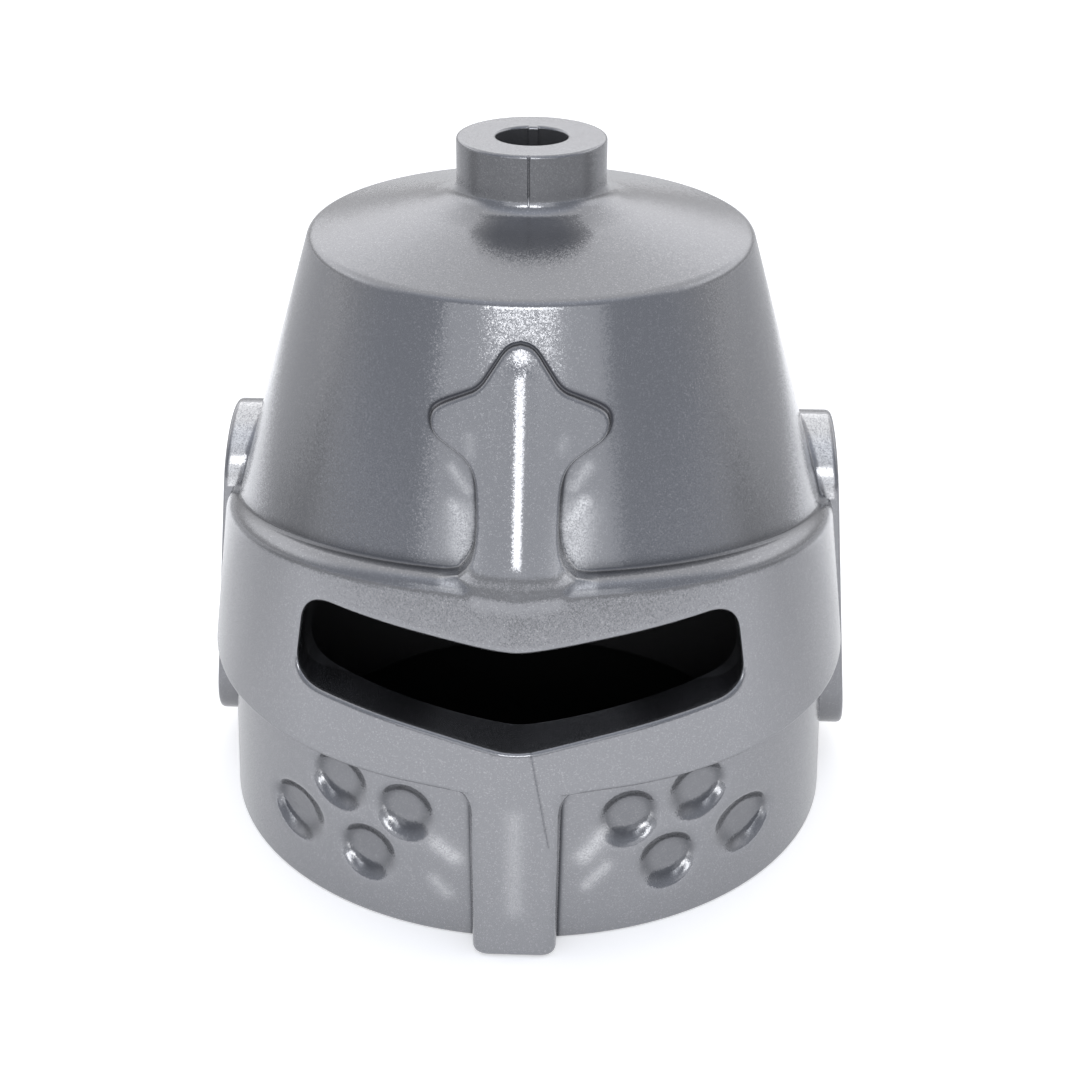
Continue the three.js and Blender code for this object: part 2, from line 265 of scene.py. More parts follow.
def outline_distance(ax, z):
    """Signed distance to the star's half outline, negative inside; ax is x without its sign."""
    best = np.full(ax.shape, 1e9)
    inside = np.zeros(ax.shape, bool)
    for (x0, z0), (x1, z1) in zip(STAR_OUTLINE[:-1], STAR_OUTLINE[1:]):
        dx, dz = x1 - x0, z1 - z0
        t = np.clip(((ax - x0) * dx + (z - z0) * dz) / (dx * dx + dz * dz), 0, 1)
        best = np.minimum(best, (ax - x0 - t * dx) ** 2 + (z - z0 - t * dz) ** 2)
        if z0 != z1:
            crosses = (z0 > z) != (z1 > z)
            inside ^= crosses & (ax < x0 + (z - z0) * dx / dz)
    return np.where(inside, -1.0, 1.0) * np.sqrt(best)


def brow_height(y, z):
    """Height above the tilted plane of the brow, where the crown ends and the visor and neck guard begin."""
    return y * math.sin(BROW_TILT) + (z - BROW_Z) * math.cos(BROW_TILT)


def side_wall(r, z):
    """Distance outside the crown's cone and the round wall below it."""
    cone = (r - CAP_RIM_R - CROWN_SPREAD * (CAP_RIM_Z - z)) / math.hypot(1, CROWN_SPREAD)
    cheek = r - np.where(z < VISOR_FOOT_Z, RIM_R + (CHEEK_R - RIM_R) * z / VISOR_FOOT_Z, CHEEK_R)
    return smax(cone, cheek, SHOULDER_ROUND)


def shell(r, z):
    """The helmet's outside without its reliefs."""
    cap = (z - CAP_RIM_Z - CAP_SLOPE * (CAP_RIM_R - r)) / math.hypot(1, CAP_SLOPE)
    return smax(smax(side_wall(r, z), cap, CAP_ROUND), -z, RIM_ROUND)


def collar(r, z):
    """Low cone round the socket's foot."""
    foot_z = CAP_RIM_Z + CAP_SLOPE * (CAP_RIM_R - COLLAR_R)
    cone = (z - foot_z - COLLAR_SLOPE * (COLLAR_R - r)) / math.hypot(1, COLLAR_SLOPE)
    return np.maximum(cone, r - COLLAR_R - COLLAR_SKIRT)


def socket(x, y, r, z):
    """Tube with the mould's parting line, a fine groove, down its front."""
    fade = np.clip((z - SOCKET_FOOT_Z) / PARTING_FADE, 0, 1)
    groove = np.where(y < 0, PARTING_DEPTH * np.exp(-((x / PARTING_W) ** 2)) * fade, 0)
    return smax(r - SOCKET_R + groove, z - SOCKET_TOP_Z, SOCKET_ROUND)


def plume_hole(x, y, r, z):
    """Blind hole with a small key down its rear wall."""
    key = np.minimum(PLUME_KEY_HALF_W - np.abs(x), y - PLUME_KEY_Y)
    return most(smax(r - PLUME_HOLE_R, key, PLUME_KEY_ROUND), PLUME_HOLE_FLOOR_Z - z)


def cavity(r, z):
    """Distance outside the room for the figure's head."""
    taper = (r - CAVITY_R + CAVITY_TAPER * (z - CAVITY_TAPER_Z)) / math.hypot(1, CAVITY_TAPER)
    return smax(smax(r - CAVITY_R, taper, CAVITY_ROUND), z - CEILING_Z, CEILING_ROUND)


def folded(x, y, r, round_r, fold):
    """Distance outside a round surface whose front is folded into a shallow prow."""
    bearing = np.sqrt(np.arctan2(x, -y) ** 2 + PROW_SOFT ** 2)
    return r - round_r / np.cos(np.maximum(fold - bearing, 0))


def visor_face(x, y, r, z):
    """The front of the band and of the keel under it."""
    face = folded(x, y, r, VISOR_FOOT_R - VISOR_SPREAD * (z - VISOR_FOOT_Z), PROW_ANGLE)
    return smax(face, -y - KEEL_FRONT + KEEL_LEAN * z, VISOR_FRONT_ROUND)


def ledge(x, y, z):
    """Height above the band's top, which falls away outside LEDGE_R."""
    up = brow_height(y, z)
    out = y * math.cos(BROW_TILT) - (z - BROW_Z) * math.sin(BROW_TILT)
    reach = np.hypot(x, out)
    return (up + LEDGE_FALL * np.maximum(reach - LEDGE_R, 0)) / math.hypot(1, LEDGE_FALL)


def band(x, y, r, z):
    d = smax(visor_face(x, y, r, z), ledge(x, y, z), LEDGE_ROUND)
    d = smax(d, VISOR_FOOT_Z - z, VISOR_FOOT_ROUND)
    return smax(d, y - VISOR_END_Y, VISOR_END_ROUND)


def step_up(t):
    """Smooth step from 0 at 0 to 1 at 1."""
    t = np.clip(t, 0, 1)
    return t * t * (3 - 2 * t)


def star_face(x, y, r, z):
    """The star's folded face, which runs out in the band's face at its foot."""
    drop = STAR_TIP_Z - z
    rib = RIB_RISE * np.exp(-((x / RIB_HALF_W) ** 2)) * step_up((RIB_TOP_Z - z) / RIB_FADE)
    face = folded(x, y, r, STAR_TIP_R + STAR_SPREAD * drop, STAR_FOLD + STAR_FOLD_GAIN * drop) - rib
    side, side_x, side_w = STAR_SUNK_SIDE
    foot, foot_z, foot_w = STAR_SUNK_FOOT
    sunk = side * step_up((np.abs(x) - side_x) / side_w) + foot * step_up((foot_z - z) / foot_w)
    return smax(face / math.hypot(1, STAR_SPREAD), visor_face(x, y, r, z) + sunk, STAR_FOOT_ROUND)


def star(x, y, r, z):
    return smax(outline_distance(np.abs(x), z), star_face(x, y, r, z), STAR_ROUND)


def keel_plan(x, z):
    """Outside the keel seen from the front, with its corners under the band rounded."""
    return smin(np.abs(x) - KEEL_HALF_W - KEEL_TAPER * z, VISOR_FOOT_Z - z, KEEL_CORNER)


def keel(x, y, r, z):
    d = smax(keel_plan(x, z), visor_face(x, y, r, z), KEEL_ROUND)
    d = most(d, z - VISOR_FOOT_Z - KEEL_REACH_Z, np.abs(x) - KEEL_REACH_X, y - KEEL_BACK_Y)
    return smax(d, -z, KEEL_FOOT_ROUND)


def visor(x, y, r, z):
    return np.minimum(band(x, y, r, z), keel(x, y, r, z))


def breath_distance(x, z):
    """Distance from the nearest dimple's edge, seen from the front; negative inside."""
    across = np.full(x.shape, 9.0)
    for cx, cz in BREATH_CENTRES:
        across = np.minimum(across, np.hypot(np.abs(x) - cx, z - cz) - BREATH_R)
    return across


def dimples(x, y, r, z):
    """Distance outside the round recesses, cut straight back, with floors that follow the cheek."""
    recess = smax(breath_distance(x, z), -side_wall(r, z) - BREATH_DEPTH, BREATH_FLOOR_ROUND)
    return smax(recess, y, 0.01)


def ear_outline(y, z):
    """Distance outside the upright plate with round ends, seen from the side."""
    return np.hypot(y - EAR_Y, np.maximum(np.abs(z - EAR_MID_Z) - EAR_HALF_SPAN, 0)) - EAR_HALF_W


def ear_slope(x, z):
    """Distance outside the plates' flat outer faces."""
    return (np.abs(x) - EAR_FOOT_X + EAR_SPLAY * (z - EAR_FOOT_Z)) / math.hypot(1, EAR_SPLAY)


def ear(x, y, z):
    return smax(ear_outline(y, z), ear_slope(x, z), EAR_ROUND)


def slit(x, y, z):
    """Distance outside the eye slit, which runs straight back through the wall."""
    up = (y - SLIT_FACE_Y) * math.sin(SLIT_TILT) + z * math.cos(SLIT_TILT)
    foot_up, foot_slope, foot_soft, foot_drop = SLIT_FOOT
    top_up, top_slope, top_soft, top_drop = SLIT_TOP
    end_x, end_up, end_lean = SLIT_END
    foot = (foot_up + foot_slope * (np.hypot(x, foot_soft) - foot_drop) - up) / math.hypot(1, foot_slope)
    top = (up - top_up - top_slope * (np.hypot(x, top_soft) - top_drop)) / math.hypot(1, top_slope)
    end = (np.abs(x) - end_x + end_lean * (up - end_up)) / math.hypot(1, end_lean)
    hole = smax(smax(foot, end, SLIT_CORNER), smax(top, end, SLIT_CORNER), 0.01)
    return most(hole, y - SLIT_BACK_Y)


def joined(d, points, box, shape, k):
    """d with a shape joined on inside a box, where k is the width of its fillet."""
    x, y, r, z = points
    (x0, x1), (y0, y1), (z0, z1) = box
    ax = np.abs(x)
    near = np.nonzero((ax >= x0) & (ax <= x1) & (y >= y0) & (y <= y1) & (z >= z0) & (z <= z1))[0]
    if near.size:
        d[near] = smin(d[near], shape(x[near], y[near], r[near], z[near]), k)
    return d


def field(p):
    """Signed distance from the helmet's surface, in millimetres."""
    x, y, z = p[:, 0], p[:, 1], p[:, 2]
    r = np.hypot(x, y)
    points = (x, y, r, z)
    d = smin(smin(shell(r, z), collar(r, z), COLLAR_FILLET), socket(x, y, r, z), SOCKET_FILLET)
    d = joined(d, points, VISOR_BOX, visor, VISOR_FILLET)
    d = joined(d, points, STAR_BOX, star, STAR_FILLET)
    d = joined(d, points, EAR_BOX, lambda x, y, r, z: ear(x, y, z), EAR_FILLET)
    d = smax(d, -cavity(r, z), CAVITY_EDGE_ROUND)
    low = np.nonzero((z > BREATH_Z[0]) & (z < BREATH_Z[1]) & (y < BREATH_BACK_Y) & (r > BREATH_INSIDE_R))[0]
    if low.size:
        d[low] = smax(d[low], -dimples(x[low], y[low], r[low], z[low]), BREATH_RIM_ROUND)
    ring = most(np.abs(r - STUD_RING_R) - STUD_RING_HALF, STUD_RING_Z - z, z - STUD_RING_TOP_Z)
    d = smin(d, ring, STUD_RING_FILLET)
    d = smax(d, -plume_hole(x, y, r, z), PLUME_HOLE_ROUND)
    return smax(d, -slit(x, y, z), SLIT_ROUND)


def gradient(p, step=0.004):
    """The field's slope at each point."""
    out = np.empty_like(p)
    for axis in range(3):
        shift = np.zeros(3)
        shift[axis] = step
        out[:, axis] = (field(p + shift) - field(p - shift)) / (2 * step)
    return out


def settled(p, rounds=2):
    """Points moved onto the surface, and the surface's normals there."""
    for _ in range(rounds):
        g = gradient(p)
        step = field(p) / np.maximum((g * g).sum(1), 0.25)
        p = p - g * np.clip(step, -GRID, GRID)[:, None]
    g = gradient(p)
    return p, g / np.maximum(np.linalg.norm(g, axis=1), 1e-9)[:, None]


def sampled(lo, shape):
    """The field on a grid: exact near the surface, and only its sign elsewhere."""
    blocks = [-(-(n - 1) // BLOCK) for n in shape]
    full = [b * BLOCK + 1 for b in blocks]
    values = np.empty(full, np.float32)
    centres = np.stack(np.meshgrid(*[np.arange(b) for b in blocks], indexing="ij"), -1).reshape(-1, 3)
    middle = field(lo + (centres + 0.5) * BLOCK * GRID)
    reach = BLOCK * GRID * 0.95 + 0.08
    coarse = middle.reshape(blocks).astype(np.float32)
    grown = np.repeat(np.repeat(np.repeat(coarse, BLOCK, 0), BLOCK, 1), BLOCK, 2)
    values[:] = np.pad(grown, ((0, 1),) * 3, mode="edge")
    near = centres[np.abs(middle) < reach]
    cell = np.stack(np.meshgrid(*[np.arange(BLOCK + 1)] * 3, indexing="ij"), -1).reshape(-1, 3)
    for start in range(0, len(near), 400):
        index = (near[start:start + 400, None, :] * BLOCK + cell[None]).reshape(-1, 3)
        values[index[:, 0], index[:, 1], index[:, 2]] = field(lo + index * GRID)
    return values


def surface_net(lo, values):
    """Vertices and triangles of the zero surface of a sampled field."""
    inside = values < 0
    offsets = np.array([(i, j, k) for i in (0, 1) for j in (0, 1) for k in (0, 1)])
    corners = [inside[i:i - 1 or None, j:j - 1 or None, k:k - 1 or None] for i, j, k in offsets.tolist()]
    count = sum(corner.astype(np.int8) for corner in corners)
    cells = np.argwhere((count > 0) & (count < 8))
    number = np.full(count.shape, -1, np.int64)
    number[tuple(cells.T)] = np.arange(len(cells))
    total = np.zeros((len(cells), 3))
    hits = np.zeros(len(cells))
    at = [values[tuple((cells + o).T)].astype(float) for o in offsets]
    for a in range(8):
        for b in range(a + 1, 8):
            if np.abs(offsets[a] - offsets[b]).sum() != 1:
                continue
            crossing = (at[a] < 0) != (at[b] < 0)
            t = np.where(crossing, at[a] / np.where(crossing, at[a] - at[b], 1), 0)
            total += crossing[:, None] * (offsets[a] + t[:, None] * (offsets[b] - offsets[a]))
            hits += crossing
    vertices = lo + (cells + total / hits[:, None]) * GRID
    faces = []
    for axis in range(3):
        low = [slice(None)] * 3
        high = [slice(None)] * 3
        low[axis], high[axis] = slice(0, -1), slice(1, None)
        a, b = inside[tuple(low)], inside[tuple(high)]
        edges = np.argwhere(a != b)
        u, v = [(1, 2), (2, 0), (0, 1)][axis]
        ok = (edges[:, u] > 0) & (edges[:, v] > 0)
        ok &= (edges[:, u] < number.shape[u]) & (edges[:, v] < number.shape[v])
        edges = edges[ok]
        outwards = a[tuple(edges.T)]
        ring = []
        for du, dv in ((-1, -1), (0, -1), (0, 0), (-1, 0)):
            step = np.zeros(3, int)
            step[u], step[v] = du, dv
            ring.append(number[tuple((edges + step).T)])
        quad = np.stack(ring, 1)
        quad[~outwards] = quad[~outwards][:, ::-1]
        faces.append(quad)
    quads = np.vstack(faces)
    quads = quads[(quads >= 0).all(1)]
    p = vertices[quads]
    short = np.linalg.norm(p[:, 0] - p[:, 2], axis=1) <= np.linalg.norm(p[:, 1] - p[:, 3], axis=1)
    one, two = quads[short], quads[~short]
    tris = np.vstack([one[:, [0, 1, 2]], one[:, [0, 2, 3]], two[:, [0, 1, 3]], two[:, [1, 2, 3]]])
    return vertices, tris


def edges_of(tris):
    """Unique edges, and each triangle's three edge numbers: 0-1, 1-2, 2-0."""
    pairs = np.sort(tris[:, [0, 1, 1, 2, 2, 0]].reshape(-1, 2), axis=1)
    size = int(tris.max()) + 1
    keys, inverse = np.unique(pairs[:, 0].astype(np.int64) * size + pairs[:, 1], return_inverse=True)
    return np.stack([keys // size, keys % size], 1), inverse.reshape(-1, 3)


def refined(points, normals, tris):
    """Splits the edges over which the surface turns by more than BEND, and those longer than wanted."""
    edges, of_tri = edges_of(tris)
    a, b = edges.T
    length = np.linalg.norm(points[a] - points[b], axis=1)
    turn = (normals[a] * normals[b]).sum(1)
    marked = (turn < math.cos(BEND)) & (length > SHORTEST_EDGE)
    middle = (points[a] + points[b]) / 2
    marked |= length > wanted_length(middle)
    for _ in range(6):
        lengths = length[of_tri]
        longest = of_tri[np.arange(len(tris)), lengths.argmax(1)]
        extra = marked[of_tri].any(1) & ~marked[longest]
        if not extra.any():
            break
        marked[longest[extra]] = True
    fresh, fresh_normals = settled(middle[marked])
    number = np.full(len(edges), -1)
    number[marked] = len(points) + np.arange(marked.sum())
    points = np.vstack([points, fresh])
    normals = np.vstack([normals, fresh_normals])
    m = number[of_tri]
    split = (m >= 0).sum(1)
    out = [tris[split == 0]]
    for turn in range(3):
        roll = [turn, (turn + 1) % 3, (turn + 2) % 3]
        t, e = tris[:, roll], m[:, roll]
        one = (split == 1) & (e[:, 0] >= 0)
        out += [np.stack([t[one, 0], e[one, 0], t[one, 2]], 1)]
        out += [np.stack([e[one, 0], t[one, 1], t[one, 2]], 1)]
        two = (split == 2) & (e[:, 0] >= 0) & (e[:, 1] >= 0)
        out += [np.stack([e[two, 0], t[two, 1], e[two, 1]], 1)]
        out += [np.stack([t[two, 0], e[two, 0], e[two, 1]], 1)]
        out += [np.stack([t[two, 0], e[two, 1], t[two, 2]], 1)]
    three = split == 3
    t, e = tris[three], m[three]
    out += [np.stack([t[:, 0], e[:, 0], e[:, 2]], 1), np.stack([e[:, 0], t[:, 1], e[:, 1]], 1)]
    out += [np.stack([e[:, 2], e[:, 1], t[:, 2]], 1), e[:, [0, 1, 2]]]
    return points, normals, np.vstack(out)


def wanted_length(p):
    """Longest edge wanted at each point, where fine detail has to be caught."""
    x, y, z = p.T
    r = np.hypot(x, y)
    parting = (np.abs(x) < 0.1) & (y < -1.3) & (y > -1.7) & (z > 12.9)
    key = (np.abs(x) < 0.2) & (y > 0.5) & (y < 0.8) & (z > 13) & (r < 0.9)
    dark, light = shade_and_highlight_marks(p).T
    marked = (dark > MARKED_FROM) | (light > MARKED_FROM)
    return np.where(parting, PARTING_EDGE, np.where(key, KEY_EDGE, np.where(marked, MARK_EDGE, 1.0)))


def near_line(d, width):
    """1 on a line, falling off with the distance d from it."""
    return np.exp(-((d / width) ** 2))


def segment_distance(x, z, x0, z0, x1, z1):
    """Distance from a straight line between two points, seen from the front."""
    dx, dz = x1 - x0, z1 - z0
    t = np.clip(((x - x0) * dx + (z - z0) * dz) / (dx * dx + dz * dz), 0, 1)
    return np.hypot(x - x0 - t * dx, z - z0 - t * dz)


def painted_shade_marks(x, y, z, r, wall, front):
    """How much painted shade each point carries in the creases, round and inside the dimples and on the
    slit's sill, 0 to 1.
    """
    ax = np.abs(x)
    star_line = near_line(outline_distance(ax, z) - 0.03, STAR_CREASE[0])
    star_line = star_line * step_up((z - 7.72) / 0.15) * STAR_CREASE[1] * (y < -3.5)
    ledge_line = near_line(np.hypot(ledge(x, y, z), np.maximum(side_wall(r, z), 0)), LEDGE_CREASE[0])
    keel_line = near_line(np.hypot(keel_plan(x, z), wall), KEEL_CREASE[0]) * (z < 3.6) * (y < -4)
    ear_line = near_line(np.hypot(ear_outline(y, z), wall), EAR_CREASE[0]) * (z > 6)
    foot_line = near_line(z - VISOR_FOOT_Z - 0.02, FOOT_CREASE[0]) * (wall > 0.08) * (ax > 1.2)
    fold_line = near_line(segment_distance(x, z, *FOLD_LINE), FOLD_CREASE[0]) * (wall > 0.1)
    lines = [star_line, ledge_line * LEDGE_CREASE[1], keel_line * KEEL_CREASE[1], ear_line * EAR_CREASE[1],
             foot_line * FOOT_CREASE[1], fold_line * FOLD_CREASE[1]]
    # Painted shade round the dimples' rims, and darker inside them
    breath = breath_distance(x, z)
    rim_line = near_line(breath + 0.05, BREATH_CREASE[0]) * BREATH_CREASE[1]
    rim_line = rim_line + step_up(-breath / 0.2) * BREATH_SHADE
    rim_line = rim_line * (z < 3.5) * (y < BREATH_BACK_Y) * (r > BREATH_INSIDE_R)
    # Painted shade on the slit's sill and walls
    sill = near_line(slit(x, y, z), SILL_CREASE[0]) * step_up((-visor_face(x, y, r, z) - 0.04) / 0.1)
    sill = sill * (y < -4) * SILL_CREASE[1]
    return np.max([*(line * front for line in lines), rim_line, sill], axis=0)


def flow_and_highlight_marks(x, y, z, wall, front):
    """How light each point is painted, 0 to 1: pearl flow marks and painted highlights on the front, and
    painted highlights on the ear plates' rims.
    """
    light = np.zeros(x.shape)
    for x0, z0, x1, z1, width, strength in STREAKS:
        light = np.maximum(light, near_line(segment_distance(x, z, x0, z0, x1, z1), width) * strength)
    # Painted highlight on each dimple's rim
    x0, z0, x1, z1, width, strength = BREATH_SPOT
    for cx, cz in BREATH_CENTRES:
        spot = near_line(segment_distance(np.abs(x), z, cx + x0, cz + z0, cx + x1, cz + z1), width)
        light = np.maximum(light, spot * strength)
    light = light * front * (y < -3.5)
    # Painted highlight along the ear plates' upper front rims
    inset = step_up((-ear_slope(x, z) - 0.08) / 0.06) * step_up((wall - 0.08) / 0.06)
    rim = near_line(ear_outline(y, z), EAR_RIM_LIGHT[0]) * inset * (z > 6.6) * (y < EAR_Y)
    return np.maximum(light, rim * EAR_RIM_LIGHT[1])


def shade_and_highlight_marks(p):
    """How much painted shade, and how much painted highlight and pearl flow mark, each point carries, both 0
    to 1.
    """
    x, y, z = p.T
    r = np.hypot(x, y)
    wall = shell(r, z)
    front = (y < -0.2) & (wall > -0.15)
    return np.stack([painted_shade_marks(x, y, z, r, wall, front), flow_and_highlight_marks(x, y, z, wall, front)], 1)


def territories(p):
    """For each piece, how far each point is outside that piece's share of the helmet."""
    x, y, z = p.T
    r = np.hypot(x, y)
    above = brow_height(y, z)
    wall = shell(r, z)
    cap_zone = np.minimum(CAP_RIM_Z - 0.02 - z, np.maximum(r - CEILING_R, CEILING_Z - BORDER_GAP - z))
    proud = np.maximum(-wall, -above)
    ring = most(z - CEILING_Z + BORDER_GAP, r - RING_SHARE_R, RING_SHARE_Z - z)
    behind = np.minimum(EAR_JOINT_Y - y, np.maximum(VISOR_FOOT_Z - z, VISOR_END_Y - y))
    rib = most(np.abs(x) - RIB_SHARE_HALF_W, z - RIB_TOP_Z, proud + BORDER_GAP)
    out = {
        "plume_socket": SOCKET_FOOT_Z - z,
        "crown_cap": np.maximum(cap_zone, z - SOCKET_FOOT_Z),
        "stud_grip_ring": ring,
        "crown_shell": most(wall, -above, -cap_zone, -ring),
        "visor_band": band(x, y, r, z),
        "brow_rib": np.maximum(rib, y + 2),
        "brow_star": most(outline_distance(np.abs(x), z), proud, -rib, y + 2),
        "neck_guard": most(wall, above, behind),
        "chin_keel": most(keel_plan(x, z) - 0.05, z - VISOR_FOOT_Z, 0.01 - wall, y + 3),
    }
    for side, sign in (("right", 1), ("left", -1)):
        out[f"ear_plate_{side}"] = most(ear_outline(y, z) - 0.06, 0.01 - wall, 4 - sign * x)
        out[f"cheek_{side}"] = most(wall, z - VISOR_FOOT_Z, y - EAR_JOINT_Y, -sign * x)
    return out


def cut(points, normals, tris, g):
    """Splits triangles along g = 0. Returns the grown vertices and the triangles on its two sides."""
    over = g[tris] >= 0
    count = over.sum(1)
    kept, rest = [tris[count == 3]], [tris[count == 0]]
    mixed = (count == 1) | (count == 2)
    t, o = tris[mixed], over[mixed]
    lone = np.where(o.sum(1) == 1, o.argmax(1), (~o).argmax(1))
    rows = np.arange(len(t))
    a, b, c = t[rows, lone], t[rows, (lone + 1) % 3], t[rows, (lone + 2) % 3]
    if len(t):
        size = len(points)
        ends = np.vstack([np.stack([a, b], 1), np.stack([a, c], 1)])
        ends = np.sort(ends, axis=1)
        keys, inverse = np.unique(ends[:, 0].astype(np.int64) * size + ends[:, 1], return_inverse=True)
        inverse = inverse.reshape(-1)
        i, j = keys // size, keys % size
        share = np.clip(g[i] / (g[i] - g[j]), 0.06, 0.94)[:, None]
        fresh, fresh_normals = settled(points[i] * (1 - share) + points[j] * share, 1)
        points = np.vstack([points, fresh])
        normals = np.vstack([normals, fresh_normals])
        m, n = size + inverse[:len(t)], size + inverse[len(t):]
        single = o.sum(1) == 1
        corner = np.stack([a, m, n], 1)
        strip = np.concatenate([np.stack([m, b, c], 1), np.stack([m, c, n], 1)])
        twice = np.concatenate([single, single])
        kept += [corner[single], strip[~twice]]
        rest += [corner[~single], strip[twice]]
    return points, normals, np.vstack(kept), np.vstack(rest)


def helmet_mesh():
    """One closed mesh of the whole helmet."""
    lo = np.array(MESH_LOW)
    shape = np.ceil((np.array(MESH_HIGH) - lo) / GRID).astype(int) + 1
    points, tris = surface_net(lo, sampled(lo, shape))
    points, normals = settled(points, 3)
    for _ in range(REFINE_ROUNDS):
        points, normals, tris = refined(points, normals, tris)
    return points, normals, tris


def shared_out(points, normals, tris):
    """The mesh cut into one set of triangles per piece."""
    share = territories(points)
    names = sorted(share, key=lambda name: name in ("crown_shell", "neck_guard", "visor_band"))
    out = {}
    rest = tris
    for i, name in enumerate(names[:-1]):
        others = names[i + 1:]
        g = np.min([share[o] for o in others], axis=0) - share[name]
        before = len(points)
        points, normals, out[name], rest = cut(points, normals, rest, g)
        extra = territories(points[before:])
        share = {n: np.concatenate([share[n], extra[n]]) for n in names}
    out[names[-1]] = rest
    return points, normals, out


def build_mesh(name, points, normals, tris):
    """A Blender mesh of some of the triangles, with the helmet's own normals and its two kinds of marks:
    painted shade, and painted highlights with pearl flow marks.
    """
    used, inverse = np.unique(tris, return_inverse=True)
    p, n = points[used] * MM, normals[used]
    faces = inverse.reshape(-1, 3)
    mesh = bpy.data.meshes.new(name)
    mesh.vertices.add(len(p))
    mesh.vertices.foreach_set("co", p.astype(np.float32).ravel())
    mesh.loops.add(faces.size)
    mesh.loops.foreach_set("vertex_index", faces.astype(np.int32).ravel())
    mesh.polygons.add(len(faces))
    mesh.polygons.foreach_set("loop_start", np.arange(0, faces.size, 3, dtype=np.int32))
    mesh.update(calc_edges=True)
    mesh.validate()
    mesh.polygons.foreach_set("use_smooth", np.ones(len(mesh.polygons), bool))
    mesh.normals_split_custom_set_from_vertices(n.astype(np.float32))
    # Painted shade, and painted highlights with pearl flow marks, as point attributes
    marks = shade_and_highlight_marks(points[used])
    for mark, values in (("painted_shade", marks[:, 0]), ("flow_and_highlight", marks[:, 1])):
        layer = mesh.attributes.new(mark, "FLOAT", "POINT")
        layer.data.foreach_set("value", values.astype(np.float32))
    mesh.update()
    return mesh


def principled(name):
    material = bpy.data.materials.new(name)
    material.use_nodes = True
    tree = material.node_tree
    return material, tree, tree.nodes["Principled BSDF"]


def node(tree, kind, **values):
    """A new node whose inputs, or else whose own settings, are given by name."""
    made = tree.nodes.new(kind)
    for key, value in values.items():
        if key in made.inputs:
            made.inputs[key].default_value = value
        else:
            setattr(made, key, value)
    return made


def ranged(tree, value, source, target, smooth=False):
    """The value mapped from one range to another, and held at its ends."""
    made = node(tree, "ShaderNodeMapRange")
    if smooth:
        made.interpolation_type = "SMOOTHSTEP"
    made.inputs["From Min"].default_value, made.inputs["From Max"].default_value = source
    made.inputs["To Min"].default_value, made.inputs["To Max"].default_value = target
    tree.links.new(value, made.inputs["Value"])
    return made.outputs["Result"]


def blended(tree, factor, low, high):
    """A colour that goes from low to high with the factor; each is a colour or another node's output."""
    made = node(tree, "ShaderNodeMix", data_type="RGBA")
    for socket_number, colour in ((6, low), (7, high)):
        if isinstance(colour, tuple):
            made.inputs[socket_number].default_value = (*colour, 1)
        else:
            tree.links.new(colour, made.inputs[socket_number])
    tree.links.new(factor, made.inputs["Factor"])
    return made.outputs[2]


def brightness_ramp(tree, value, stops, tint=(1, 1, 1)):
    """Brightness read off a list of places and levels."""
    ramp = tree.nodes.new("ShaderNodeValToRGB")
    while len(ramp.color_ramp.elements) < len(stops):
        ramp.color_ramp.elements.new(0.5)
    for element, (place_at, level) in zip(ramp.color_ramp.elements, stops):
        element.position = place_at
        element.color = (level * tint[0], level * tint[1], level * tint[2], 1)
    tree.links.new(value, ramp.inputs["Fac"])
    return ramp.outputs["Color"]


# Pearl plastic. Scales are cells to the metre; a flake glints where its random number passes GLINT_FROM
FLAKE_SCALE = 52000.0
FLAKE_TILT = 0.07
CLOUD_SCALE = 900.0
GLINT_FROM = 0.82
PLASTIC = (0.248, 0.251, 0.262)
GLINT = (0.33, 0.33, 0.34)
# Colour of the painted shade in the creases, the dimples and the slit
PAINTED_SHADE_COLOUR = (0.02, 0.022, 0.028)
# Colour of the painted highlights and pearl flow marks
FLOW_AND_HIGHLIGHT_COLOUR = (0.8, 0.8, 0.8)
SPARKLE = (0.35, 1.65)
ROUGHNESS = (0.13, 0.19)
METALLIC = (0.8, 0.2)


def pearl_colour(tree, shade):
    """Plastic with glinting flakes, darker with painted shade in the creases, and lighter and sparkling with
    painted highlights and pearl flow marks.
    """
    glint = ranged(tree, shade.outputs["Red"], (GLINT_FROM, 1), (0, 1), smooth=True)
    plastic = blended(tree, glint, PLASTIC, GLINT)
    # Painted shade
    painted_shade = node(tree, "ShaderNodeAttribute", attribute_name="painted_shade")
    with_painted_shade = blended(tree, painted_shade.outputs["Fac"], plastic, PAINTED_SHADE_COLOUR)
    # Painted highlights and pearl flow marks, sparkling with the flakes
    flow_and_highlight = node(tree, "ShaderNodeAttribute", attribute_name="flow_and_highlight")
    marked = node(tree, "ShaderNodeMath", operation="MULTIPLY", use_clamp=True)
    tree.links.new(flow_and_highlight.outputs["Fac"], marked.inputs[0])
    tree.links.new(ranged(tree, shade.outputs["Green"], (0, 1), SPARKLE), marked.inputs[1])
    return blended(tree, marked.outputs[0], with_painted_shade, FLOW_AND_HIGHLIGHT_COLOUR), flow_and_highlight.outputs["Fac"]


def tilted_normal(tree, flakes):
    """The surface's normal, leaning a little another way in every flake."""
    tilt = node(tree, "ShaderNodeVectorMath", operation="MULTIPLY_ADD")
    tree.links.new(flakes.outputs["Color"], tilt.inputs[0])
    tilt.inputs[1].default_value = (FLAKE_TILT,) * 3
    tilt.inputs[2].default_value = (-FLAKE_TILT / 2,) * 3
    face = node(tree, "ShaderNodeNewGeometry")
    lean = node(tree, "ShaderNodeVectorMath", operation="ADD")
    tree.links.new(face.outputs["Normal"], lean.inputs[0])
    tree.links.new(tilt.outputs[0], lean.inputs[1])
    unit = node(tree, "ShaderNodeVectorMath", operation="NORMALIZE")
    tree.links.new(lean.outputs[0], unit.inputs[0])
    return unit.outputs[0]


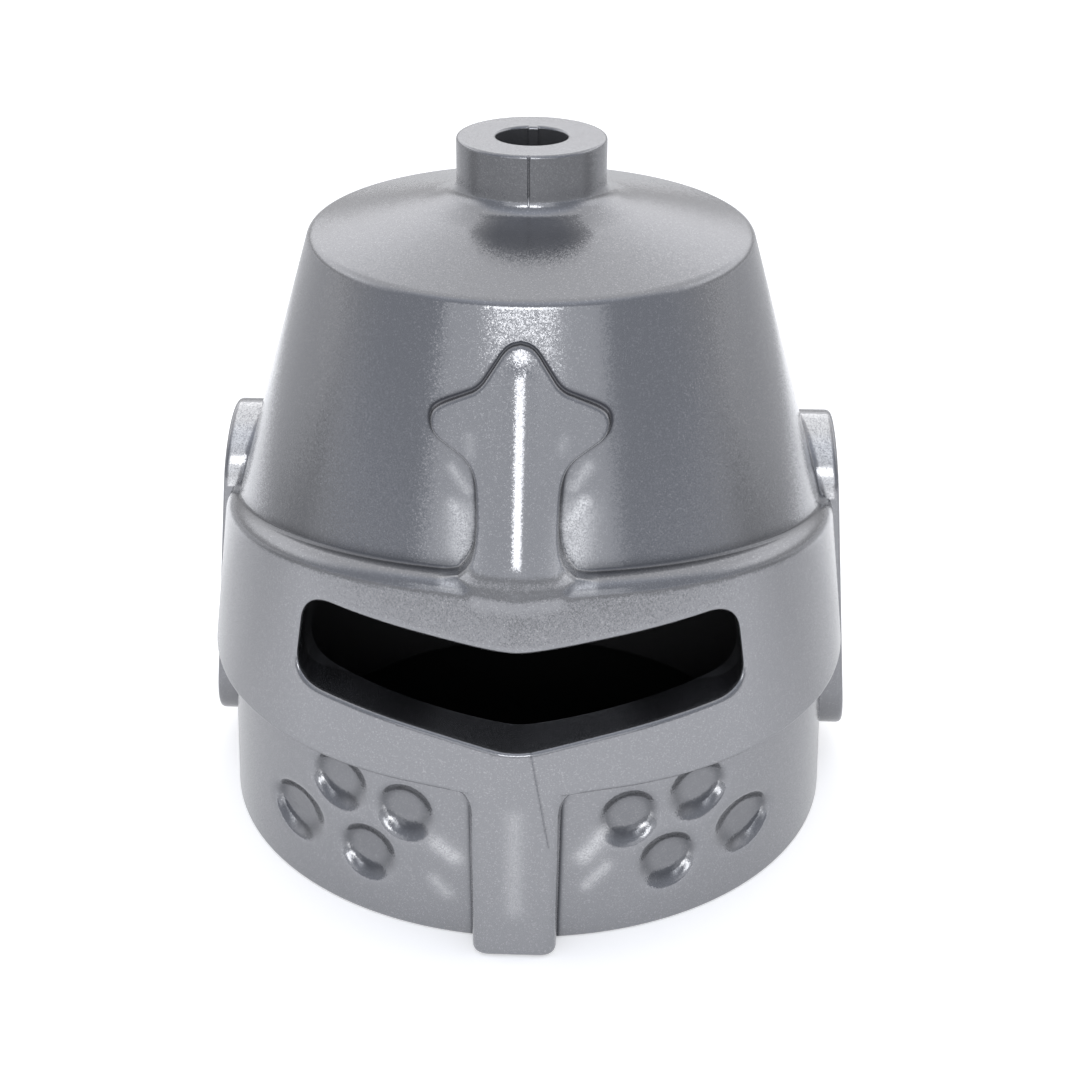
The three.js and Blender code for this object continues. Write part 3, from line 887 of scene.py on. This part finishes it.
def pearl_plastic():
    """Satin silver plastic, whose pearl flakes lie at different angles and glint where light nears them."""
    material, tree, bsdf = principled("pearl_plastic")
    link = tree.links.new
    place = node(tree, "ShaderNodeTexCoord")
    flakes = node(tree, "ShaderNodeTexVoronoi", Scale=FLAKE_SCALE)
    link(place.outputs["Object"], flakes.inputs["Vector"])
    cloud = node(tree, "ShaderNodeTexNoise", Scale=CLOUD_SCALE, Detail=3.0)
    link(place.outputs["Object"], cloud.inputs["Vector"])
    shade = node(tree, "ShaderNodeSeparateColor")
    link(flakes.outputs["Color"], shade.inputs["Color"])
    colour, flow_and_highlight = pearl_colour(tree, shade)
    link(colour, bsdf.inputs["Base Color"])
    link(ranged(tree, cloud.outputs["Fac"], (0, 1), ROUGHNESS), bsdf.inputs["Roughness"])
    link(ranged(tree, flow_and_highlight, (0, 1), METALLIC), bsdf.inputs["Metallic"])
    link(tilted_normal(tree, flakes), bsdf.inputs["Normal"])
    return material


def build_pieces():
    """One piece for each CAD node, which it stands for."""
    material = pearl_plastic()
    points, normals, shares = shared_out(*helmet_mesh())
    for name, tris in shares.items():
        piece = bpy.data.objects.new("look_" + name, build_mesh(name, points, normals, tris))
        bpy.context.scene.collection.objects.link(piece)
        piece.data.materials.append(material)
        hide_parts(name)
        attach(piece, "root")


# Camera, aimed from the front, a little to the right and 27 degrees above
CAMERA_AT = (0.00139, -0.03624, 0.02385)
CAMERA_SENSOR = 36
CAMERA_PITCH = 0.4697
CAMERA_YAW = -0.006
CAMERA_ROLL = 0.0077
CAMERA_SIDE = math.radians(2.2)
CAMERA_LENS = 64.2


def place_camera():
    data = bpy.data.cameras.new("camera")
    data.sensor_width = CAMERA_SENSOR
    data.lens = CAMERA_LENS
    data.clip_start = 0.001
    data.clip_end = 10
    camera = bpy.data.objects.new("camera", data)
    bpy.context.scene.collection.objects.link(camera)
    turn = Matrix.Rotation(CAMERA_SIDE, 4, "Z") @ Matrix.Rotation(CAMERA_YAW, 4, "Z")
    tilt = Matrix.Rotation(math.pi / 2 - CAMERA_PITCH, 4, "X") @ Matrix.Rotation(CAMERA_ROLL, 4, "Z")
    camera.matrix_world = Matrix.Translation(CAMERA_AT) @ turn @ tilt
    bpy.context.scene.camera = camera


# Floor, and the dark disc that closes off what shows under the helmet; the disc is painted shade, a dark
# sheet where the floor lies in the helmet's shade
FLOOR_R = 0.5
DISC_R = 0.006
FLOOR_SIDES = 64
FLOOR_WHITE = (0.9, 0.9, 0.9)
FLOOR_GLOW = 0.4
# Brightness of the floor in the helmet's reflections, by distance from the middle, 1 being the reach
FLOOR_LIGHT = [(0.0, 0.97), (0.37, 0.97), (0.46, 0.55), (0.55, 0.33), (1.0, 0.33)]
FLOOR_LIGHT_REACH = 0.08
# The same brightness is scaled from front to back, by Y from FLOOR_SHARE_Y's first value to its second
FLOOR_SHARE = [(0.0, 1.0), (0.22, 1.0), (0.35, 0.7), (0.46, 0.7), (0.75, 1.5), (1.0, 1.5)]
FLOOR_SHARE_Y = (-0.02, 0.04)


def floor_brightness(tree):
    """How bright the floor is where the helmet reflects it, in place of the room that stood round it."""
    place = node(tree, "ShaderNodeTexCoord")
    away = node(tree, "ShaderNodeVectorMath", operation="LENGTH")
    tree.links.new(place.outputs["Object"], away.inputs[0])
    split = node(tree, "ShaderNodeSeparateXYZ")
    tree.links.new(place.outputs["Object"], split.inputs[0])
    reach = ranged(tree, away.outputs["Value"], (0, FLOOR_LIGHT_REACH), (0, 1))
    depth = ranged(tree, split.outputs["Y"], FLOOR_SHARE_Y, (0, 1))
    scaled = node(tree, "ShaderNodeVectorMath", operation="MULTIPLY")
    tree.links.new(brightness_ramp(tree, reach, FLOOR_LIGHT), scaled.inputs[0])
    tree.links.new(brightness_ramp(tree, depth, FLOOR_SHARE), scaled.inputs[1])
    level = node(tree, "ShaderNodeVectorMath", operation="MINIMUM")
    tree.links.new(scaled.outputs[0], level.inputs[0])
    level.inputs[1].default_value = (1, 1, 1)
    return level.outputs[0]


def floor_material():
    """Plain white to the camera; only reflections show its darker places."""
    material, tree, bsdf = principled("studio_floor")
    path = node(tree, "ShaderNodeLightPath")
    seen = blended(tree, path.outputs["Is Camera Ray"], floor_brightness(tree), FLOOR_WHITE)
    tree.links.new(seen, bsdf.inputs["Base Color"])
    tree.links.new(seen, bsdf.inputs["Emission Color"])
    bsdf.inputs["Emission Strength"].default_value = FLOOR_GLOW
    bsdf.inputs["Roughness"].default_value = 0.8
    return material


# The dark disc: painted shade under the helmet, which also keeps light from bouncing up inside it
def shade_disc_material():
    material, _, bsdf = principled("painted_shade_under_helmet")
    bsdf.inputs["Base Color"].default_value = (0.02, 0.02, 0.02, 1)
    bsdf.inputs["Roughness"].default_value = 1.0
    bsdf.inputs["Specular IOR Level"].default_value = 0.0
    return material


def place_floor():
    count = FLOOR_SIDES
    angles = [2 * math.pi * i / count for i in range(count)]
    points = [(radius * math.cos(a), radius * math.sin(a), 0) for radius in (DISC_R, FLOOR_R) for a in angles]
    outer = [[i, count + i, count + (i + 1) % count, (i + 1) % count] for i in range(count)]
    mesh = bpy.data.meshes.new("floor")
    mesh.from_pydata(points, [], outer + [list(range(count))])
    floor = bpy.data.objects.new("floor", mesh)
    bpy.context.scene.collection.objects.link(floor)
    mesh.materials.append(floor_material())
    mesh.materials.append(shade_disc_material())
    mesh.polygons[count].material_index = 1


# Lights: bearing and height in degrees, distance, width, height, brightness
SOFTBOXES = {
    "key": (-1.5, 21.5, 0.3, 0.16, 0.07, 4.5),
    "glow": (-1.5, 13, 0.32, 0.5, 0.19, 0.6),
}
LIGHT_AIM_Z = 0.008


def softbox(name, azimuth, elevation, distance, width, height, radiance):
    """Rectangular area light that faces the helmet, from a bearing measured from the front towards +X."""
    data = bpy.data.lights.new(name, "AREA")
    data.shape = "RECTANGLE"
    data.size = width
    data.size_y = height
    data.energy = radiance * math.pi * width * height
    a, e = math.radians(azimuth), math.radians(elevation)
    back = Vector((math.sin(a) * math.cos(e), -math.cos(a) * math.cos(e), math.sin(e)))
    light = bpy.data.objects.new(name, data)
    light.location = Vector((0, 0, LIGHT_AIM_Z)) + back * distance
    light.rotation_mode = "QUATERNION"
    light.rotation_quaternion = (-back).to_track_quat("-Z", "Y")
    bpy.context.scene.collection.objects.link(light)


# Brightness of the room by height, from straight down at 0 to straight up at 1
FRONT_SKY = [(0.0, 1.4), (0.49, 1.3), (0.51, 0.5), (0.6, 0.5), (0.7, 0.5), (0.82, 0.6), (1.0, 1.0)]
BACK_SKY = [
    (0.0, 1.4), (0.49, 1.3), (0.51, 0.62), (0.57, 0.65), (0.64, 1.6), (0.74, 1.75), (0.84, 1.25), (1.0, 1.1),
]
FRONT_TINT = (0.95, 1, 1.125)
BACK_TINT = (1, 1, 1.02)
# Where the front's brightness turns into the back's, as the Y of a direction
SKY_TURN = (-0.4, 0.3)


def light_room():
    """A room dim towards the horizon, bright above and behind, which the camera sees as plain white."""
    world = bpy.data.worlds.new("room")
    bpy.context.scene.world = world
    world.use_nodes = True
    tree = world.node_tree
    place = node(tree, "ShaderNodeTexCoord")
    split = node(tree, "ShaderNodeSeparateXYZ")
    tree.links.new(place.outputs["Generated"], split.inputs[0])
    height = ranged(tree, split.outputs["Z"], (-1, 1), (0, 1))
    front = brightness_ramp(tree, height, FRONT_SKY, FRONT_TINT)
    back = brightness_ramp(tree, height, BACK_SKY, BACK_TINT)
    behind = ranged(tree, split.outputs["Y"], SKY_TURN, (0, 1), smooth=True)
    room = blended(tree, behind, front, back)
    path = node(tree, "ShaderNodeLightPath")
    seen = blended(tree, path.outputs["Is Camera Ray"], room, (1, 1, 1))
    tree.links.new(seen, tree.nodes["Background"].inputs["Color"])
    tree.nodes["Background"].inputs["Strength"].default_value = 1.0
    for name, values in SOFTBOXES.items():
        softbox(name, *values)


build_pieces()
place_camera()
place_floor()
light_room()
bpy.context.scene.view_settings.view_transform = "Standard"
